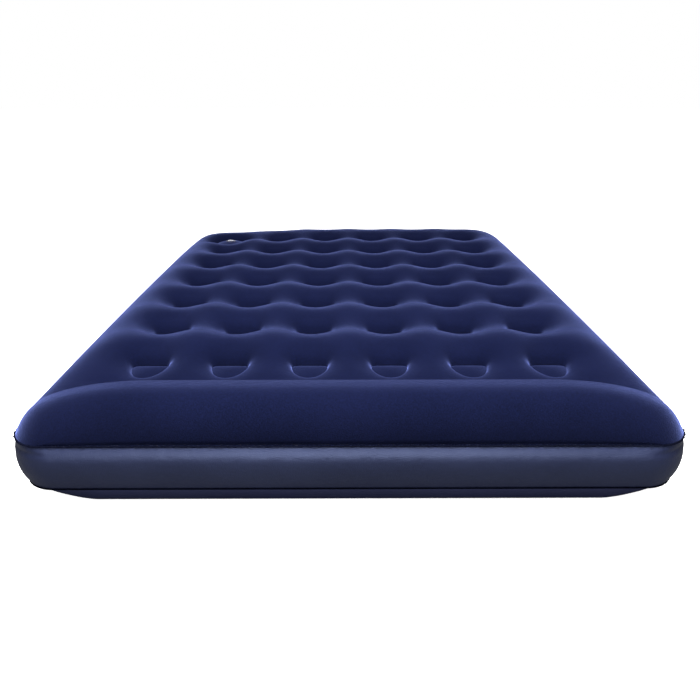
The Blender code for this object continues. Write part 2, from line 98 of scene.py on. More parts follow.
# The crease behind it: where it stops being full, how far it takes to rise, and its side fade.
CREASE_FLOOR, CREASE_RISE, CREASE_SIDE = 0.23, 0.20, 0.15
PUMP_OPENING, PUMP_LEDGE = 0.0745, 0.088  # radii of the pump's hole and of the flat ledge round it
# The body sags round the pump: how deep, how far towards the foot, and how wide.
PUMP_DROP, DROP_SHIFT, DROP_SPREAD = 0.019, 0.09, 0.15

# ---- what the CAD leaves to this script ---------------------------------------------------
SKIN = 0.0008  # drawn thickness of the sheets
# A dimple's flat disc shows as a D: a straight fold on its foot side, then a half ellipse.
FOLD_X, FOLD_Y = 0.0435, 0.031
FOLD_FADE = 0.0145  # the dimple is round again this far out
FOLD_LEAN, FOLD_LEAN_HEIGHT = 0.0010, 0.0022  # the wall hangs over the fold by this, this far up
FOLD_ROUND = 0.0072  # softens the corners of the D
DISC_CROWN = 0.0085  # how far the air in a coil lifts its disc
WALL_FOOT = 0.07  # eases the foot of a dimple's wall away from upright
DISH_REACH = 0.062  # radius over which the band is dished in towards the valve
DISH_RELIEF = 0.0004  # the dish stops this far below the valve's flange
HOLE_CLEARANCE = 0.0005  # between the band's hole and the valve
AXIS = 1e-5  # radius that stands for a point on a turned piece's axis
SAME_PLACE = 1e-5  # points closer than this are joined

# ---- how fine the skins are ---------------------------------------------------------------
SHARPEST_CORNER = 0.012  # least corner radius of a ring round the bed
# Steps along the top's outline, between its free points, and between those inside a disc.
TOP_STEP, TOP_GRID, DISC_GRID = 0.0105, 0.0115, 0.010
# Rows parallel to the outline spread over this zone, closest at the edge. Only the first are drawn.
EDGE_ZONE, EDGE_ROWS, EDGE_ROWS_DRAWN = 0.16, 14, 8
DIMPLE_SIDES = 45
DISC_SHARES = (0.75, 0.86, 0.93, 0.975)  # rings inside a dimple's flat disc, of its radius
DIMPLE_LEVELS = (
    0, 0.014, 0.028, 0.045, 0.07, 0.11, 0.17, 0.25, 0.34, 0.45, 0.56, 0.67,
)  # rings up a dimple's wall, of its height
PUMP_SIDES, PUMP_RINGS = 72, (0, 0.001, 0.003, 0.007, 0.013)  # rings beyond the pump's ledge
BAND_STEP, BAND_ROWS_ABOVE, BAND_ROWS_BELOW = 0.009, 13, 17
DISH_SHARES = (0.08, 0.2, 0.35, 0.55, 0.8)  # rings round the valve, of the dish's width
BOTTOM_STEP, BOTTOM_GRID = 0.012, 0.02
UNDER_SHARES = (  # rows in from the bottom's outline, of its rounded edge
    0.01, 0.03, 0.06, 0.10, 0.16, 0.23, 0.31, 0.40, 0.50, 0.60, 0.70,
)
UNDER_DISC_SHARES = (0, 0.03, 0.1, 0.25, 0.45, 0.7, 1.0)  # rings up a dimple in the bottom
SEAM_STEP = 0.0025

# ---- welded seams -------------------------------------------------------------------------
# (share of its reach, half thickness) across a seam's flange, from inside to its free edge
SEAM_SECTION = ((-0.3, 0.0006), (0.35, 0.0008), (0.8, 0.0008), (1.0, 0.0004))
# (waves round the bed, weight, phase) of its crimps
CRIMP_WAVES = ((310, 0.5, 0.3), (487, 0.35, 1.9), (733, 0.25, 4.0), (97, 0.3, 2.2))
CRIMP_REACH = 0.35  # how far the crimps move the free edge in and out, as a share of the reach

# ---- studio -------------------------------------------------------------------------------
# Strength of the light all round, how much of it the floor sends back, and the floor's own glow.
AMBIENT, FLOOR_BOUNCE, FLOOR_GLOW = 0.32, 0.08, 0.9
HORIZON = 0.1  # brightness of the studio at the horizon, with 1 overhead
SIDE_DIM = 0.85  # share of the studio's light missing towards +X and -X
FLOOR_HALF = 30.0
# (name, place, target, size, watts)
SOFTBOXES = (
    ("overhead", (0, -1.0, 2.2), (0, -0.6, 0.2), (1.3, 1.4), 190),
    ("front", (0, -4.0, 0.86), (0, -0.95, 0.18), (3.0, 0.45), 62),
    ("back", (0, 4.2, 1.35), (0, 0.95, 0.18), (3.2, 0.7), 40),
)
SENSOR, LENS = 36, 33.32  # millimetres
CAMERA_X, CAMERA_BACK, CAMERA_Z = -0.0061, 1.0645, 0.818  # it stands this far back from the head
CAMERA_DOWN, CAMERA_TURN = 21.81, -0.29  # degrees below level, and round from +Y


def centre_of(node):
    """Middle of a CAD node's box."""
    low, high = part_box(node)
    return (low + high) / 2


def radius_of(node):
    """Half the width of a CAD node along X."""
    low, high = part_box(node)
    return (high.x - low.x) / 2


def joint_named(name):
    return next(joint for joint in frame["joints"] if joint["name"] == name)


def hinge_point(name):
    return Vector(joint_named(name)["pos_m"])


PUMP = centre_of("pump_cup")
COILS = [centre_of(name) for name in sorted(frame["nodes"]) if name.startswith("coil_")]
DISCS = np.array([(c.x, c.y) for c in COILS])
VALVE = centre_of("valve_base")
VALVE_HOLE = radius_of("valve_base") + HOLE_CLEARANCE
VALVE_FLANGE_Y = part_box("valve_base")[1].y


# ---- surfaces -----------------------------------------------------------------------------
def arc(t):
    """Quarter of an ellipse: 0 to 1, upright at 0 and level at 1."""
    t = np.clip(t, 0, 1)
    return np.sqrt(1 - (1 - t) ** 2)


def smooth(t):
    """0 to 1, level at both ends."""
    t = np.clip(t, 0, 1)
    return t * t * (3 - 2 * t)


def under_arc(t):
    """Like arc, but fuller or flatter as UNDER_CURVE says."""
    return (1 - (1 - np.clip(t, 0, 1)) ** UNDER_CURVE) ** (1 / UNDER_CURVE)


def bowed(x, y):
    """The X of a point once the long sides draw in towards the two ends."""
    along = (y - MIDDLE_Y) / ((FOOT_Y - HEAD_Y) / 2)
    return x * (1 - BOW / HALF_WIDTH * along * along)


def outline_reach(x, y, inset, radius):
    """Distance from points to the rounded outline: along X, and along Y to the head and foot."""
    half = HALF_WIDTH - inset
    head, foot = HEAD_Y + inset, FOOT_Y - inset
    across = np.abs(x) / bowed(1.0, y)
    past_y = np.maximum(np.maximum(head + radius - y, y - (foot - radius)), 0)
    past_x = np.maximum(across - (half - radius), 0)
    side = half - radius + np.sqrt(np.maximum(radius**2 - past_y**2, 0)) - across
    cut = radius - np.sqrt(np.maximum(radius**2 - past_x**2, 0))
    return side, y - (head + cut), (foot - cut) - y


def crease_at(x, y, side):
    """How far the body sinks into the crease behind the pillow, from 0 to 1."""
    along = y - HEAD_Y
    return (1 - smooth((along - CREASE_FLOOR) / CREASE_RISE)) * smooth(side / CREASE_SIDE)


def flat_edge(angle):
    """Radius of a dimple's flat disc in this direction: a half ellipse below a straight fold."""
    across, along = np.cos(angle) / FOLD_X, np.sin(angle) / (FOLD_Y + DISC_RADIUS)
    level = FOLD_Y / (FOLD_Y + DISC_RADIUS)
    square = across**2 + along**2
    rim = (along * level + np.sqrt((along * level) ** 2 + square * (1 - level**2))) / square
    fold = FOLD_Y / np.maximum(np.sin(angle), 0.01)  # far beyond the rim where there is no fold
    return -np.logaddexp(-rim / FOLD_ROUND, -fold / FOLD_ROUND) * FOLD_ROUND


def past_flat(dx, dy):
    """Distance beyond a dimple's flat disc, which is a plain circle again further out."""
    radius = np.hypot(dx, dy)
    beyond = radius - DISC_RADIUS
    folded = DISC_RADIUS - flat_edge(np.arctan2(dy, dx))
    return beyond + folded * np.exp(-((np.maximum(beyond, 0) / FOLD_FADE) ** 2))


def dimple_depth(x, y, reach, folds):
    """How much of the full depth the dimples take, from 0 to 1."""
    total = np.zeros_like(x)
    for cx, cy in DISCS:
        if folds:
            away = past_flat(x - cx, y - cy)
        else:
            away = np.hypot(x - cx, y - cy) - DISC_RADIUS
        share = np.maximum(away / (reach - DISC_RADIUS), 0)
        total += 1 - arc(share * share / (share + WALL_FOOT))
    if folds:
        away = np.hypot(x - PUMP.x, y - PUMP.y) - PUMP_LEDGE
        total += 1 - arc(away / (reach - PUMP_LEDGE))
    return np.minimum(total, 1)


def disc_crown(x, y):
    """Air inside a coil swells its weld disc a little, most steeply at the disc's rim."""
    total = np.zeros_like(x)
    for cx, cy in DISCS:
        dx, dy = x - cx, y - cy
        share = np.hypot(dx, dy) / flat_edge(np.arctan2(dy, dx))
        total += DISC_CROWN * np.clip(1 - share**2, 0, 1)
    return total


def top_z(x, y):
    """Height of the flocked top: a pillow roll across the head end, then the dimpled body."""
    side, head, foot = outline_reach(x, y, TOP_SEAM_INSET, TOP_SEAM_RADIUS)
    along = y - HEAD_Y
    front = arc(head / (PILLOW_FRONT - TOP_SEAM_INSET))
    from_low_point = np.hypot(x - PUMP.x, y - PUMP.y - DROP_SHIFT)
    crest = BODY_CREST - PUMP_DROP * np.exp(-((from_low_point / DROP_SPREAD) ** 2) / 2)
    body = WELD_Z + (crest - WELD_Z) * (1 - crease_at(x, y, side)) * (
        1 - dimple_depth(x, y, DIMPLE_REACH, True)
    )
    edge = arc(side / SHOULDER) * arc(foot / SHOULDER) * front
    body = TOP_SEAM_Z + (body - TOP_SEAM_Z) * edge
    past_crest = np.maximum(along - PILLOW_FRONT, 0) / (PILLOW_BACK - PILLOW_FRONT)
    roll = WELD_Z + (HEIGHT - WELD_Z) * arc(1 - past_crest)
    roll = TOP_SEAM_Z + (roll - TOP_SEAM_Z) * arc(side / PILLOW_END) * front
    return np.where(past_crest >= 1, body, np.maximum(roll, body))


def bottom_z(x, y):
    """Height of the underside: flat on the floor, with a disc lifted at each coil."""
    side, head, foot = outline_reach(x, y, LOW_SEAM_INSET, LOW_SEAM_RADIUS)
    edge = under_arc(side / UNDER_EDGE) * under_arc(head / UNDER_EDGE) * under_arc(foot / UNDER_EDGE)
    lift = BOTTOM_WELD_Z * dimple_depth(x, y, BOTTOM_REACH, False)
    return LOW_SEAM_Z * (1 - edge) + lift * edge


def outline(inset, radius, step):
    """Points round the bed, anticlockwise from above, about step apart at inset 0."""
    half_x, radius = HALF_WIDTH - inset, max(radius, SHARPEST_CORNER)
    head, foot = HEAD_Y + inset, FOOT_Y - inset
    corner_steps = round(BAND_RADIUS * math.pi / 2 / step)
    steps_x = round(2 * HALF_WIDTH / step)
    steps_y = round((FOOT_Y - HEAD_Y) / step)
    centres = [
        (half_x - radius, foot - radius, 0.0),
        (radius - half_x, foot - radius, 0.5),
        (radius - half_x, head + radius, 1.0),
        (half_x - radius, head + radius, 1.5),
    ]
    points = []
    for index, (cx, cy, start) in enumerate(centres):
        turn = np.pi * (start + 0.5 * np.arange(corner_steps + 1) / corner_steps)
        bend = np.stack([cx + radius * np.cos(turn), cy + radius * np.sin(turn)], 1)
        next_x, next_y, next_start = centres[(index + 1) % 4]
        end = np.array([
            next_x + radius * math.cos(math.pi * next_start),
            next_y + radius * math.sin(math.pi * next_start),
        ])
        steps = steps_x if index % 2 == 0 else steps_y
        t = (np.arange(1, steps) / steps)[:, None]
        points += [bend, bend[-1] + (end - bend[-1]) * t]
    points = np.concatenate(points)
    points[:, 0] = bowed(points[:, 0], points[:, 1])
    return points


# ---- making objects -----------------------------------------------------------------------
def add_mesh(name, points, faces, surface, body="bed"):
    """New object with one material that rides on a body, or on none for the stage."""
    mesh = bpy.data.meshes.new(name)
    mesh.from_pydata([tuple(map(float, p)) for p in points], [], faces)
    mesh.validate()
    mesh.shade_smooth()
    made = bpy.data.objects.new(name, mesh)
    bpy.context.scene.collection.objects.link(made)
    mesh.materials.append(surface)
    if body:
        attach(made, body)
    return made


def tidy_mesh(piece):
    """Joins points that lie together, drops loose ones and turns every face outwards."""
    work = bmesh.new()
    work.from_mesh(piece.data)
    bmesh.ops.remove_doubles(work, verts=work.verts, dist=SAME_PLACE)
    bmesh.ops.delete(work, geom=[v for v in work.verts if not v.link_faces], context="VERTS")
    bmesh.ops.recalc_face_normals(work, faces=work.faces)
    work.to_mesh(piece.data)
    work.free()
    piece.data.shade_smooth()


def thicken(piece):
    """Gives a skin its thickness, inwards from the surface drawn."""
    wall = piece.modifiers.new("thickness", "SOLIDIFY")
    wall.thickness = SKIN
    wall.offset = -1


def loop_faces(rings, count, closed=False):
    """Quads between rings of count points each, numbered ring by ring."""
    faces = []
    for ring in range(rings if closed else rings - 1):
        a, b = ring * count, ((ring + 1) % rings) * count
        for k in range(count):
            n = (k + 1) % count
            faces.append((a + k, a + n, b + n, b + k))
    return faces


def circle(cx, cy, radius, sides, turn=0.0):
    """Points round a circle, begun this many sides of a turn from +X."""
    angle = 2 * np.pi * (np.arange(sides) + turn) / sides
    return np.stack([cx + radius * np.cos(angle), cy + radius * np.sin(angle)], 1)


def grid_fill(step, keep):
    """Points on a staggered grid over the bed where keep(x, y) is true."""
    row_share = 0.87  # rows this close make nearly even triangles
    points = []
    for index, y in enumerate(np.arange(HEAD_Y, FOOT_Y, step * row_share)):
        x = np.arange(-HALF_WIDTH, HALF_WIDTH, step) + step / 2 * (index % 2)
        points.append(np.stack([x, np.full_like(x, y)], 1))
    points = np.concatenate(points)
    return points[keep(points[:, 0], points[:, 1])]


def triangulated(rings, loose, hole=None):
    """(plan points, faces) over rings, the first of which is the outline, but not in the hole."""
    plan, edges = [], []
    for ring in rings:
        first = sum(len(p) for p in plan)
        plan.append(ring)
        edges += [(first + k, first + (k + 1) % len(ring)) for k in range(len(ring))]
    plan = np.concatenate(plan + [loose])
    points, _, faces, *_ = geometry.delaunay_2d_cdt(
        [Vector(p) for p in plan], edges, [], 1, 1e-7
    )
    points = np.array([tuple(p) for p in points])
    faces = np.array([tuple(f) for f in faces])
    if hole:
        hole_x, hole_y, radius = hole
        middle = points[faces].mean(1)
        faces = faces[np.hypot(middle[:, 0] - hole_x, middle[:, 1] - hole_y) > radius]
    used, faces = np.unique(faces, return_inverse=True)
    return points[used], faces.reshape(-1, 3).tolist()


# ---- materials ----------------------------------------------------------------------------
def new_material(name):
    """(material, its main shader node)."""
    made = bpy.data.materials.new(name)
    made.use_nodes = True
    return made, made.node_tree.nodes["Principled BSDF"]


def node(material, kind, **values):
    """New shader node, with each value put on the input or else the setting of that name."""
    made = material.node_tree.nodes.new(kind)
    for key, value in values.items():
        if key in made.inputs:
            made.inputs[key].default_value = value
        else:
            setattr(made, key, value)
    return made


def noise(material, scale, detail):
    """Grain fixed to the object, from 0 to 1. A larger scale is finer."""
    place = node(material, "ShaderNodeTexCoord")
    made = node(material, "ShaderNodeTexNoise", Scale=scale, Detail=detail)
    material.node_tree.links.new(place.outputs["Object"], made.inputs["Vector"])
    return made.outputs["Fac"]


def mix_colours(material, factor, low, high):
    """Colour between low and high as the factor goes from 0.3 to 0.7."""
    ramp = node(material, "ShaderNodeValToRGB")
    for stop, colour, position in zip(ramp.color_ramp.elements, (low, high), (0.3, 0.7)):
        stop.color = (*colour, 1)
        stop.position = position
    material.node_tree.links.new(factor, ramp.inputs["Fac"])
    return ramp.outputs["Color"]


def multiplied(material, first, second):
    """Product of two colours. A Mix node has its colour sockets after those for other types."""
    factor, colour_a, colour_b, colour_out = 0, 6, 7, 2
    made = node(material, "ShaderNodeMix", data_type="RGBA", blend_type="MULTIPLY")
    made.inputs[factor].default_value = 1.0
    material.node_tree.links.new(first, made.inputs[colour_a])
    material.node_tree.links.new(second, made.inputs[colour_b])
    return made.outputs[colour_out]


def mix_values(material, factor, low, high):
    """Value between low and high as the factor goes from 0 to 1."""
    made = node(material, "ShaderNodeMapRange")
    made.inputs["To Min"].default_value = low
    made.inputs["To Max"].default_value = high
    material.node_tree.links.new(factor, made.inputs["Value"])
    return made.outputs["Result"]


def bump(material, height, strength, distance, under=None):
    """Normals tilted by this relief, laid over another relief if there is one under it."""
    made = node(material, "ShaderNodeBump", Strength=strength, Distance=distance)
    links = material.node_tree.links
    links.new(height, made.inputs["Height"])
    if under:
        links.new(under, made.inputs["Normal"])
    return made.outputs["Normal"]


def flock_material():
    """Short nylon flock: dark when faced, bright at a glancing angle, with faint brushed patches."""
    made, shader = new_material("flock")
    links = made.node_tree.links
    brushed = noise(made, scale=7, detail=3)
    patches = mix_colours(made, brushed, (0.0017, 0.0028, 0.0135), (0.0023, 0.0036, 0.0165))
    tufts = noise(made, scale=420, detail=4)
    speckle = mix_colours(made, tufts, (0.6, 0.6, 0.63), (1.4, 1.4, 1.45))
    links.new(multiplied(made, patches, speckle), shader.inputs["Base Color"])
    shader.inputs["Roughness"].default_value = 1.0
    shader.inputs["Specular IOR Level"].default_value = 0.05
    shader.inputs["Sheen Weight"].default_value = 0.8
    shader.inputs["Sheen Roughness"].default_value = 0.34
    shader.inputs["Sheen Tint"].default_value = (0.29, 0.375, 1.0, 1)
    pile = bump(made, tufts, strength=0.5, distance=0.0012)
    fibres = noise(made, scale=1500, detail=2)
    nap = bump(made, fibres, strength=0.15, distance=0.0004, under=pile)
    links.new(nap, shader.inputs["Normal"])
    return made


def pvc_material(name, low, high, roughness, grain, gloss=0.75):
    """Calendered PVC sheet: a fine leathery grain under a soft gloss."""
    made, shader = new_material(name)
    links = made.node_tree.links
    spread = 0.06
    fine = noise(made, scale=grain, detail=3)
    slack = bump(made, noise(made, scale=28, detail=3), strength=0.25, distance=0.006)
    shades = mix_colours(made, noise(made, scale=9, detail=3), low, high)
    links.new(shades, shader.inputs["Base Color"])
    links.new(mix_values(made, fine, roughness - spread, roughness + spread), shader.inputs["Roughness"])
    links.new(bump(made, fine, strength=0.55, distance=0.0008, under=slack), shader.inputs["Normal"])
    shader.inputs["Specular Tint"].default_value = (0.5, 0.6, 0.95, 1)
    shader.inputs["Specular IOR Level"].default_value = gloss
    return made


def plastic_material(name, low, high, roughness, grain=260):
    """Moulded or foamed plastic, a little uneven in colour and gloss."""
    made, shader = new_material(name)
    links = made.node_tree.links
    smoother, rougher = roughness - 0.05, roughness + 0.08
    shades = mix_colours(made, noise(made, scale=30, detail=2), low, high)
    links.new(shades, shader.inputs["Base Color"])
    fine = noise(made, scale=grain, detail=3)
    links.new(mix_values(made, fine, smoother, rougher), shader.inputs["Roughness"])
    links.new(bump(made, fine, strength=0.12, distance=0.0002), shader.inputs["Normal"])
    return made


FLOCK = flock_material()
BAND_PVC = pvc_material("band_pvc", (0.013, 0.0165, 0.045), (0.017, 0.0215, 0.055), 0.38, 560)
SEAM_PVC = pvc_material(
    "seam_pvc", (0.0008, 0.001, 0.004), (0.0014, 0.0018, 0.007), 0.8, 900, gloss=0.06
)
BOTTOM_PVC = pvc_material("bottom_pvc", (0.013, 0.015, 0.052), (0.017, 0.019, 0.062), 0.5, 600)
INNER_PVC = pvc_material("inner_pvc", (0.07, 0.08, 0.13), (0.09, 0.10, 0.16), 0.45, 500)
VALVE_PLASTIC = plastic_material("valve_plastic", (0.018, 0.021, 0.06), (0.024, 0.027, 0.07), 0.3)
INLET_PLASTIC = plastic_material("inlet_plastic", (0.03, 0.034, 0.07), (0.04, 0.045, 0.085), 0.16)
RUBBER = plastic_material("rubber", (0.012, 0.012, 0.014), (0.02, 0.02, 0.022), 0.6)
FOAM = plastic_material("foam", (0.42, 0.41, 0.34), (0.52, 0.51, 0.44), 0.95, 120)


# ---- top skin -----------------------------------------------------------------------------
def dimple_rings():
    """Rings round a dimple at the origin, closer together where its wall is steep."""
    angle = 2 * np.pi * np.arange(DIMPLE_SIDES) / DIMPLE_SIDES
    way = np.stack([np.cos(angle), np.sin(angle)], 1)
    rings = [way * (flat_edge(angle) * share)[:, None] for share in DISC_SHARES]
    for level in DIMPLE_LEVELS:
        away = (DIMPLE_REACH - DISC_RADIUS) * (1 - math.sqrt(1 - level * level))
        radius = np.full(DIMPLE_SIDES, DISC_RADIUS + away)
        for _ in range(12):  # enough rounds to settle at the same distance beyond the disc
            radius += away - past_flat(radius * way[:, 0], radius * way[:, 1])
        rings.append(way * radius[:, None])
    return rings


def lean_over_folds(points):
    """Pulls the foot of each dimple's far wall towards the head end, over its fold."""
    for cx, cy in DISCS:
        dx, dy = points[:, 0] - cx, points[:, 1] - cy
        near = np.hypot(dx, dy) < DIMPLE_REACH / 2
        folded = (DISC_RADIUS - flat_edge(np.arctan2(dy[near], dx[near]))) / (DISC_RADIUS - FOLD_Y)
        up = np.maximum(points[near, 2] - WELD_Z, 0) / FOLD_LEAN_HEIGHT
        points[near, 1] -= FOLD_LEAN * folded * 2 * up / (1 + up * up)
    return points


def make_top_skin():
    """The flocked sheet, from its seam over the shoulders, pillow and dimples to the pump's hole."""
    edge_gap, dimple_gap, pump_gap = 0.005, 0.036, 0.018  # clear of the rings round each
    insets = EDGE_ZONE * (np.arange(EDGE_ROWS_DRAWN + 1) / EDGE_ROWS) ** 2
    rings = [outline(TOP_SEAM_INSET + inset, TOP_SEAM_RADIUS - inset, TOP_STEP) for inset in insets]
    for cx, cy in DISCS:
        rings += [ring + (cx, cy) for ring in dimple_rings()]
    rings.append(circle(PUMP.x, PUMP.y, PUMP_OPENING, PUMP_SIDES))
    rings += [circle(PUMP.x, PUMP.y, PUMP_LEDGE + past, PUMP_SIDES) for past in PUMP_RINGS]

    def keep(x, y):
        side, head, foot = outline_reach(x, y, TOP_SEAM_INSET + insets[-1], TOP_SEAM_RADIUS)
        clear = np.minimum(np.minimum(side, head), foot) > edge_gap
        for cx, cy in DISCS:
            clear &= np.hypot(x - cx, y - cy) > DISC_RADIUS + dimple_gap
        return clear & (np.hypot(x - PUMP.x, y - PUMP.y) > PUMP_LEDGE + pump_gap)

    loose = [grid_fill(TOP_GRID, keep)]
    for cx, cy in DISCS:
        loose.append(grid_fill(DISC_GRID, lambda x, y: past_flat(x - cx, y - cy) < -DISC_GRID))
    hole = (PUMP.x, PUMP.y, PUMP_OPENING - 0.002)  # a little less, to spare the hole's own edge
    plan, faces = triangulated(rings, np.concatenate(loose), hole)
    x, y = plan.T
    points = lean_over_folds(np.stack([x, y, top_z(x, y)], 1))
    points[:, 2] += disc_crown(x, y)
    skin = add_mesh("top_skin", points, faces, FLOCK)
    thicken(skin)
    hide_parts("top_sheet")


# ---- side band and seams ------------------------------------------------------------------
def band_section():
    """(inset, z, corner radius) down the band's outer face."""
    section = []
    for t in np.linspace(0, 1, BAND_ROWS_ABOVE + 1):
        z = TOP_SEAM_Z + (BULGE_Z - TOP_SEAM_Z) * t
        radius = TOP_SEAM_RADIUS + (BAND_RADIUS - TOP_SEAM_RADIUS) * min(1, 2 * t)
        section.append((TOP_SEAM_INSET * (1 - t) ** 2, z, radius))
    for t in np.linspace(0, 1, BAND_ROWS_BELOW + 1)[1:]:
        z = BULGE_Z + (LOW_SEAM_Z - BULGE_Z) * t
        radius = BAND_RADIUS + (LOW_SEAM_RADIUS - BAND_RADIUS) * t
        section.append((LOW_SEAM_INSET * t * t, z, radius))
    return section


def band_inset(z):
    """How far the band's outer face stands in from its furthest reach at this height."""
    above = np.clip((z - BULGE_Z) / (TOP_SEAM_Z - BULGE_Z), 0, 1)
    below = np.clip((BULGE_Z - z) / (BULGE_Z - LOW_SEAM_Z), 0, 1)
    return TOP_SEAM_INSET * above**2 + LOW_SEAM_INSET * below**2


def patch_edge(columns, top, bottom, count):
    """Point numbers round the patch that runs from row top to row bottom over these columns."""
    left, right = columns[0], columns[-1]
    edge = [top * count + k for k in range(left, right + 1)]
    edge += [row * count + right for row in range(top + 1, bottom + 1)]
    edge += [bottom * count + k for k in range(right - 1, left - 1, -1)]
    edge += [row * count + left for row in range(bottom - 1, top, -1)]
    return edge


def dish_points(points, patch, edge, border):
    """Points in the patch: rings round the valve, and the band's own points beyond the dish."""
    above, below, overlap = 0.001, 0.002, 0.004  # clear of the border, and within the dish's edge
    inside = []
    for share in DISH_SHARES:
        ring = circle(VALVE.x, VALVE.z, VALVE_HOLE + (DISH_REACH - VALVE_HOLE) * share, 64)
        room = (ring[:, 1] < border[:, 1].max() - above) & (ring[:, 1] > border[:, 1].min() + below)
        inside.append(ring[room])
    beyond = points[sorted(patch.difference(edge))][:, [0, 2]]
    away = np.hypot(beyond[:, 0] - VALVE.x, beyond[:, 1] - VALVE.z)
    inside.append(beyond[away > DISH_REACH - overlap])
    return np.concatenate(inside)


def patch_round_valve(points, faces, count):
    """The band's mesh with the stretch round the valve dished in to the valve's flange."""
    patch_half_width, fade_above, fade_below = DISH_REACH + 0.012, 0.003, 0.004
    top, bottom = 1, len(points) // count - 2
    ring_x, ring_y = points[:count, 0], points[:count, 1]
    beside_valve = np.abs(ring_x - VALVE.x) < patch_half_width
    columns = np.flatnonzero(beside_valve & (ring_y > MIDDLE_Y))
    patch = {row * count + k for row in range(top, bottom + 1) for k in columns}
    kept = [face for face in faces if not patch.issuperset(face)]
    edge = patch_edge(columns, top, bottom, count)
    border = points[edge][:, [0, 2]]
    rings = [border, circle(VALVE.x, VALVE.z, VALVE_HOLE, 96)]
    hole = (VALVE.x, VALVE.z, VALVE_HOLE - 0.001)  # a little less, to spare the hole's own edge
    plan, fresh = triangulated(rings, dish_points(points, patch, edge, border), hole)
    x, z = plan.T
    past = np.hypot(x - VALVE.x, z - VALVE.z) - VALVE_HOLE
    share = 1 - smooth(past / (DISH_REACH - VALVE_HOLE))
    share *= smooth((border[:, 1].max() - z) / fade_above)
    share *= smooth((z - border[:, 1].min()) / fade_below)
    y = FOOT_Y - band_inset(z)
    y += (VALVE_FLANGE_Y - DISH_RELIEF - y) * share
    start = len(points)
    faces = kept + [tuple(start + k for k in face) for face in fresh]
    return np.concatenate([points, np.column_stack([x, y, z])]), faces


def make_side_skin():
    """The smooth band between the two seams, bulging outwards."""
    rings = []
    for inset, z, radius in band_section():
        ring = outline(inset, radius, BAND_STEP)
        rings.append(np.column_stack([ring, np.full(len(ring), z)]))
    count = len(rings[0])
    points = np.concatenate(rings)
    faces = [face[::-1] for face in loop_faces(len(rings), count)]
    points, faces = patch_round_valve(points, faces, count)
    skin = add_mesh("side_skin", points, faces, BAND_PVC)
    tidy_mesh(skin)
    thicken(skin)
    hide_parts("side_band")


def make_seam(name, inset, z, radius, reach, lean, crimp):
    """Welded flange that stands out from a seam, drawn in by small irregular crimps."""
    spine = outline(inset, radius, SEAM_STEP)
    along = np.roll(spine, -1, 0) - np.roll(spine, 1, 0)
    along /= np.linalg.norm(along, axis=1)[:, None]
    out = np.stack([along[:, 1], -along[:, 0]], 1)
    phase = np.linspace(0, 2 * np.pi, len(spine), endpoint=False)
    wave = sum(weight * np.sin(turns * phase + shift) for turns, weight, shift in CRIMP_WAVES)
    upper = list(SEAM_SECTION)
    lower = [(share, -half) for share, half in reversed(SEAM_SECTION)]
    points = []
    for share, lift in upper + lower:
        crimped = wave * max(share, 0)
        push = reach * share * (1 + CRIMP_REACH * crimped)
        rise = lift + lean * share * reach + crimp * crimped
        points.append(np.column_stack([spine + out * push[:, None], z + rise]))
    faces = loop_faces(len(points), len(spine), closed=True)
    seam = add_mesh(name, np.concatenate(points), faces, SEAM_PVC)
    tidy_mesh(seam)


def make_bottom_skin():
    """The underside: it curves in from its seam to the floor, and lifts under each coil."""
    edge_gap, outer_gap, inner_gap = 0.008, 0.006, 0.01  # clear of the rings round each
    rings = [outline(LOW_SEAM_INSET, LOW_SEAM_RADIUS, BOTTOM_STEP)]
    for share in UNDER_SHARES:
        inset = UNDER_EDGE * share
        rings.append(outline(LOW_SEAM_INSET + inset, LOW_SEAM_RADIUS - inset, BOTTOM_STEP))
    for cx, cy in DISCS:
        for index, share in enumerate(UNDER_DISC_SHARES):
            radius = DISC_RADIUS + (BOTTOM_REACH - DISC_RADIUS) * share
            rings.append(circle(cx, cy, radius, 40, 0.5 * (index % 2)))

    def keep(x, y):
        inset = LOW_SEAM_INSET + UNDER_EDGE * UNDER_SHARES[-1]
        side, head, foot = outline_reach(x, y, inset, LOW_SEAM_RADIUS)
        clear = np.minimum(np.minimum(side, head), foot) > edge_gap
        for cx, cy in DISCS:
            away = np.hypot(x - cx, y - cy)
            clear &= (away > BOTTOM_REACH + outer_gap) | (away < DISC_RADIUS - inner_gap)
        return clear

    plan, faces = triangulated(rings, grid_fill(BOTTOM_GRID, keep))
    x, y = plan.T
    points = np.stack([x, y, bottom_z(x, y)], 1)
    skin = add_mesh("bottom_skin", points, [face[::-1] for face in faces], BOTTOM_PVC)
    thicken(skin)
    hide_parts("bottom_sheet")


# ---- turned and moulded pieces ------------------------------------------------------------
def rounded(profile, radius, steps=3):
    """The closed profile with each corner cut back by radius and drawn as an arc."""
    made = []
    for index, corner in enumerate(profile):
        corner = Vector(corner)
        before, after = Vector(profile[index - 1]), Vector(profile[(index + 1) % len(profile)])
        reach = min(radius, (before - corner).length / 2.1, (after - corner).length / 2.1)
        start = corner + (before - corner).normalized() * reach
        end = corner + (after - corner).normalized() * reach
        for step in range(steps + 1):
            t = step / steps
            made.append(start * (1 - t) ** 2 + corner * 2 * t * (1 - t) + end * t * t)
    return made


def turned(profile, sides, reshape=None):
    """(points, faces) of a closed profile of (radius, height) turned about Z."""
    angle = 2 * np.pi * np.arange(sides) / sides
    points = []
    for radius, height in profile:
        out = np.full(sides, radius)
        if reshape:
            out = out + reshape(angle, radius, height)
        level = np.full(sides, height)
        points.append(np.column_stack([out * np.cos(angle), out * np.sin(angle), level]))
    return np.concatenate(points), loop_faces(len(profile), sides, closed=True)


